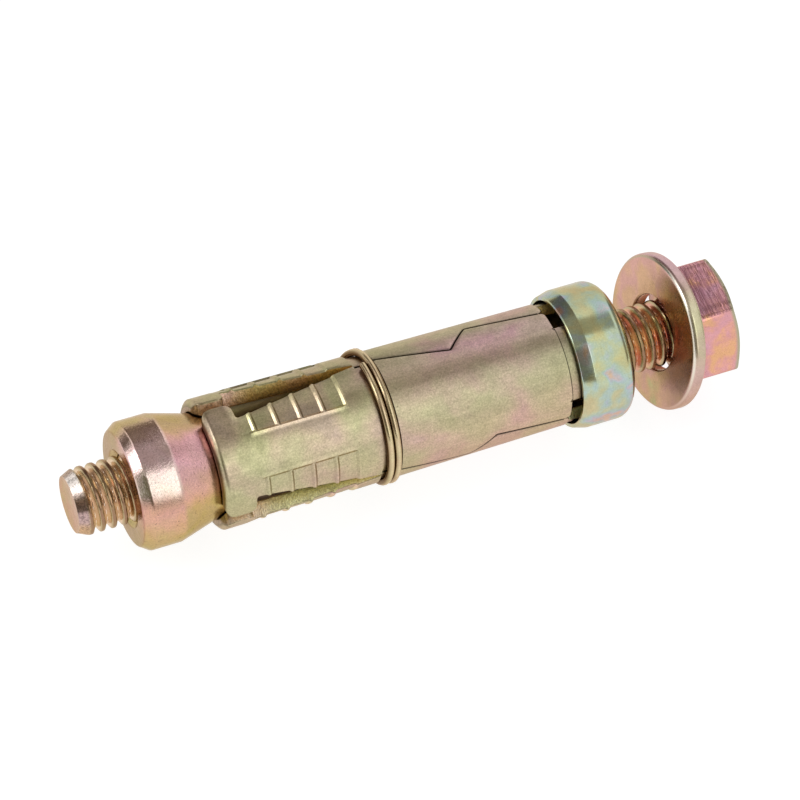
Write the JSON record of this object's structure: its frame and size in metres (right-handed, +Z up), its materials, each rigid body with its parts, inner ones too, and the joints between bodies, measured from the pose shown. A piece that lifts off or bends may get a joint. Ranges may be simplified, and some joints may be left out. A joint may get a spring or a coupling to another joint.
{
  "type": "shield anchor",
  "caption": "Loose bolt shield anchor: a hexagon bolt with a washer draws a tapered nut into a slotted steel shield, which a wire spring and an end cap hold together.",
  "frame": {"origin": "middle of the anchor's length, on the surface it lies on, below its axis", "axes": "+X along the bolt from its tip to its head, +Z up, -Y to the side that shows"},
  "size_m": [0.0603, 0.014, 0.0139],
  "materials": {
    "bolt": "yellow passivated zinc, glossy, pink and orange",
    "washer": "yellow passivated zinc, glossy, pink and green",
    "nut": "yellow passivated zinc, glossy, pink and yellow",
    "shield": "yellow passivated zinc, satin, olive yellow with pink patches",
    "spring": "drawn spring wire, glossy, grey brown",
    "cap": "yellow passivated zinc, glossy, green, yellow and pink"
  },
  "bodies": {
    "end_cap": {"end_cap": "cap", "spring_ring": "spring"},
    "bolt": {"bolt": "bolt"},
    "expander_nut": {"expander_nut": "nut"},
    "segment_near": {"segment_near": "shield"},
    "segment_far": {"segment_far": "shield"},
    "segment_under": {"segment_under": "shield"},
    "washer": {"washer": "washer"}
  },
  "joints": [
    {"name": "bolt_turn", "type": "hinge", "parent": "end_cap", "child": "bolt", "pos_m": [0, 0, 0.00676], "axis": [-1, 0, 0], "range_deg": [0, 1080]},
    {"name": "nut_draw", "type": "slide", "parent": "end_cap", "child": "expander_nut", "axis": [1, 0, 0], "range_m": [0, 0.0031]},
    {"name": "segment_near_spread", "type": "hinge", "parent": "end_cap", "child": "segment_near", "pos_m": [0.0174, -0.0035, 0.00975], "axis": [0, 0.6481, 0.7615], "range_deg": [0, 2.4], "deforming": ["spring_ring"]},
    {"name": "segment_far_spread", "type": "hinge", "parent": "end_cap", "child": "segment_far", "pos_m": [0.0174, 0.00433, 0.00831], "axis": [0, 0.3355, -0.9421], "range_deg": [0, 2.4]},
    {"name": "segment_under_spread", "type": "hinge", "parent": "end_cap", "child": "segment_under", "pos_m": [0.0174, -0.00083, 0.00224], "axis": [0, -0.9836, 0.1805], "range_deg": [0, 2.4]},
    {"name": "washer_slide", "type": "slide", "parent": "end_cap", "child": "washer", "axis": [-1, 0, 0], "range_m": [0, 0.0028]}
  ],
  "couplings": [
    {"joint": "nut_draw", "follows": "bolt_turn", "m_per_rad": 0.00015915},
    {"joint": "segment_near_spread", "follows": "bolt_turn", "ratio": 0.0021062},
    {"joint": "segment_far_spread", "follows": "bolt_turn", "ratio": 0.0021062},
    {"joint": "segment_under_spread", "follows": "bolt_turn", "ratio": 0.0021062}
  ]
}
